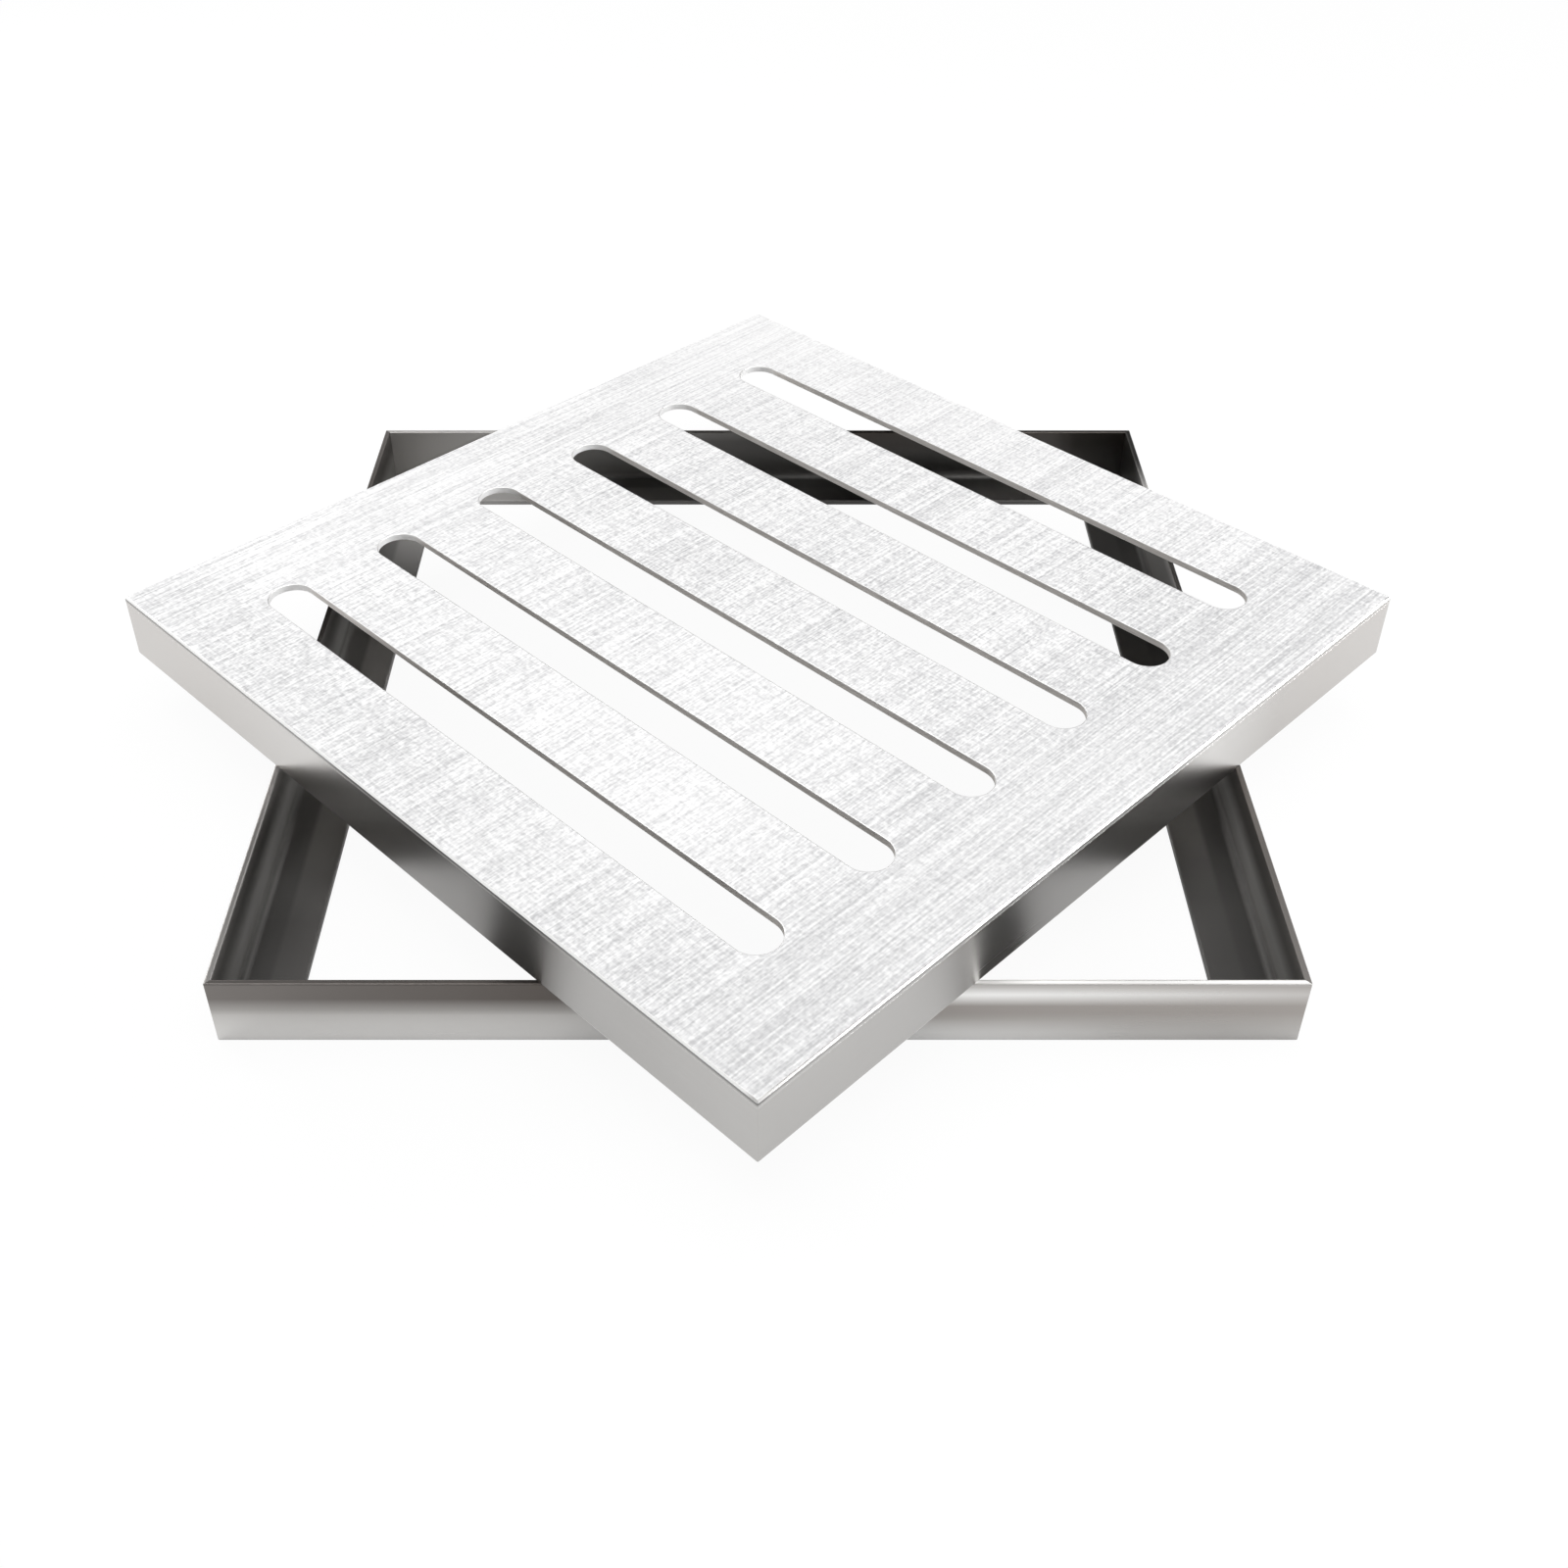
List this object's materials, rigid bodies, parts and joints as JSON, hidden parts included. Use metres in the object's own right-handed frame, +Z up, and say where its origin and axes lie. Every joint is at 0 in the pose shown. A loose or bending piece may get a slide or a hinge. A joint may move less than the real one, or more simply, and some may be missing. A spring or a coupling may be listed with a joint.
{
  "type": "square drain grate",
  "caption": "Square floor drain grate: a brushed steel cover with a row of round-ended slots and a skirt, lying cornerwise across its mitred angle frame.",
  "frame": {"origin": "centre of the frame's underside, on the ground", "axes": "+Z up; the cover's sides lie along X and Y with the slots along X, and the frame is turned 45 degrees about Z"},
  "size_m": [0.5656, 0.5656, 0.0605],
  "materials": {
    "brushed_plate": "straight brushed grain across the slots",
    "skirt_strip": "smooth mill finish",
    "frame_angle": "smooth mill finish"
  },
  "bodies": {
    "root": {"cover_plate": "brushed_plate", "cover_skirt_front": "skirt_strip", "cover_skirt_right": "skirt_strip", "cover_skirt_back": "skirt_strip", "cover_skirt_left": "skirt_strip", "frame_rail_front": "frame_angle", "frame_rail_right": "frame_angle", "frame_rail_back": "frame_angle", "frame_rail_left": "frame_angle"}
  },
  "joints": []
}
